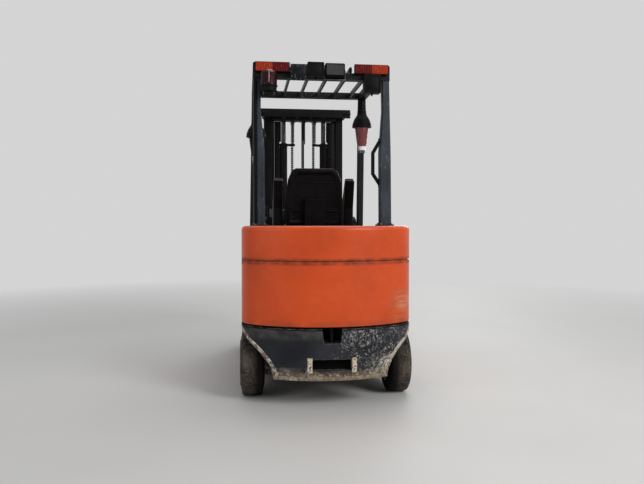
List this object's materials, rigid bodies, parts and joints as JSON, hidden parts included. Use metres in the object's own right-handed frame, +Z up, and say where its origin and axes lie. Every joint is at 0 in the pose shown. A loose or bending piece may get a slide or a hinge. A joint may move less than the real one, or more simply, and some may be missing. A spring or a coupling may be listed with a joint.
{
  "type": "electric counterbalance forklift truck",
  "caption": "Seated electric forklift with rear counterweight, steered rear wheels, overhead guard, tilting two-stage mast, sliding carriage and load forks.",
  "frame": {"origin": "on the floor under the middle of the truck's overall box, forks lowered", "axes": "+Y forward along the forks, +X to the driver's right, +Z up"},
  "size_m": [1.082, 3.28, 2.145],
  "materials": {
    "orange_paint": "worn satin paint",
    "dark_paint": "worn dark grey paint",
    "guard_paint": "blue-grey satin paint",
    "mast_paint": "black satin paint, greased tracks",
    "bare_steel": "worn bare steel",
    "chrome_rod": "hard chrome",
    "wheel_paint": "dusty grey paint",
    "tyre_rubber": "dusty solid rubber",
    "black_plastic": "moulded",
    "mat_rubber": "ribbed",
    "seat_vinyl": "coated fabric",
    "battery_steel": "acid-proof paint",
    "red_lens": "clear moulded lens",
    "amber_lens": "clear moulded lens",
    "clear_lens": "frosted lens",
    "hose_rubber": "wrapped cover",
    "chain_steel": "oiled leaf chain"
  },
  "bodies": {
    "chassis": {"counterweight": "orange_paint", "counterweight_base": "dark_paint", "drawbar_pin": "bare_steel", "frame": "dark_paint", "battery": "battery_steel", "side_panels": "orange_paint", "floor_plate": "dark_paint", "floor_mat": "mat_rubber", "fenders": "orange_paint", "cowl": "orange_paint", "dashboard": "black_plastic", "steering_column": "black_plastic", "driver_controls": "black_plastic", "drive_axle": "dark_paint", "steer_axle": "dark_paint", "guard_pillars": "guard_paint", "guard_roof": "guard_paint", "lamp_housings": "black_plastic", "lenses_red": "red_lens", "lenses_amber": "amber_lens", "lenses_clear": "clear_lens", "assist_grip": "black_plastic"},
    "hood": {"hood": "orange_paint", "seat_base": "black_plastic", "seat_cushion": "seat_vinyl", "seat_back": "seat_vinyl", "hip_restraints": "black_plastic"},
    "steering_wheel": {"steering_wheel": "black_plastic"},
    "steer_rod": {"steer_rod": "chrome_rod"},
    "mast_outer": {"mast_outer": "mast_paint", "outer_rollers": "bare_steel", "lift_barrels": "mast_paint"},
    "mast_inner": {"mast_inner": "mast_paint", "inner_rollers": "bare_steel", "lift_chains": "chain_steel", "mast_hoses": "hose_rubber", "lift_rods": "chrome_rod"},
    "carriage": {"carriage": "mast_paint", "carriage_rollers": "bare_steel", "forks": "bare_steel", "load_backrest": "mast_paint"},
    "tilt_barrels": {"tilt_barrels": "mast_paint"},
    "tilt_rods": {"tilt_rods": "chrome_rod"},
    "knuckle_left": {"knuckle_left": "dark_paint"},
    "rear_wheel_left": {"rear_tyre_left": "tyre_rubber", "rear_wheel_left": "wheel_paint"},
    "front_wheel_left": {"front_tyre_left": "tyre_rubber", "front_wheel_left": "wheel_paint"},
    "knuckle_right": {"knuckle_right": "dark_paint"},
    "rear_wheel_right": {"rear_tyre_right": "tyre_rubber", "rear_wheel_right": "wheel_paint"},
    "front_wheel_right": {"front_tyre_right": "tyre_rubber", "front_wheel_right": "wheel_paint"}
  },
  "joints": [
    {"name": "mast_tilt", "type": "hinge", "parent": "chassis", "child": "mast_outer", "pos_m": [0, 0.238, 0.15], "axis": [1, 0, 0], "range_deg": [-5, 6]},
    {"name": "mast_lift", "type": "slide", "parent": "mast_outer", "child": "mast_inner", "axis": [0, 0, 1], "range_m": [0, 1.5]},
    {"name": "carriage_lift", "type": "slide", "parent": "mast_inner", "child": "carriage", "axis": [0, 0, 1], "range_m": [0, 1.5]},
    {"name": "tilt_barrel_swing", "type": "hinge", "parent": "chassis", "child": "tilt_barrels", "pos_m": [0, -0.22, 0.44], "axis": [1, 0, 0], "range_deg": [-2, 2]},
    {"name": "tilt_rod_slide", "type": "slide", "parent": "tilt_barrels", "child": "tilt_rods", "axis": [0, 0.9541, 0.2995], "range_m": [-0.046, 0.038]},
    {"name": "hood_lift", "type": "hinge", "parent": "chassis", "child": "hood", "pos_m": [0, -1.032, 0.95], "axis": [1, 0, 0], "range_deg": [0, 50]},
    {"name": "steering_wheel_spin", "type": "hinge", "parent": "chassis", "child": "steering_wheel", "pos_m": [0, -0.11, 1.285], "axis": [0, -0.4226, 0.9063], "continuous": true},
    {"name": "steer_rod_slide", "type": "slide", "parent": "chassis", "child": "steer_rod", "axis": [1, 0, 0], "range_m": [-0.095, 0.095]},
    {"name": "steer_left", "type": "hinge", "parent": "chassis", "child": "knuckle_left", "pos_m": [-0.38, -1.245, 0.203], "axis": [0, 0, 1], "range_deg": [-70, 70]},
    {"name": "rear_wheel_spin_left", "type": "hinge", "parent": "knuckle_left", "child": "rear_wheel_left", "pos_m": [-0.465, -1.245, 0.203], "axis": [1, 0, 0], "continuous": true},
    {"name": "front_wheel_spin_left", "type": "hinge", "parent": "chassis", "child": "front_wheel_left", "pos_m": [-0.447, 0.155, 0.267], "axis": [1, 0, 0], "continuous": true},
    {"name": "steer_right", "type": "hinge", "parent": "chassis", "child": "knuckle_right", "pos_m": [0.38, -1.245, 0.203], "axis": [0, 0, 1], "range_deg": [-70, 70]},
    {"name": "rear_wheel_spin_right", "type": "hinge", "parent": "knuckle_right", "child": "rear_wheel_right", "pos_m": [0.465, -1.245, 0.203], "axis": [1, 0, 0], "continuous": true},
    {"name": "front_wheel_spin_right", "type": "hinge", "parent": "chassis", "child": "front_wheel_right", "pos_m": [0.447, 0.155, 0.267], "axis": [1, 0, 0], "continuous": true}
  ],
  "couplings": [
    {"joint": "steer_left", "follows": "steer_right", "ratio": 1},
    {"joint": "steer_rod_slide", "follows": "steer_right", "m_per_rad": 0.0765},
    {"joint": "carriage_lift", "follows": "mast_lift", "ratio": 1},
    {"joint": "tilt_barrel_swing", "follows": "mast_tilt", "ratio": 0.245},
    {"joint": "tilt_rod_slide", "follows": "mast_tilt", "m_per_rad": -0.4144}
  ]
}
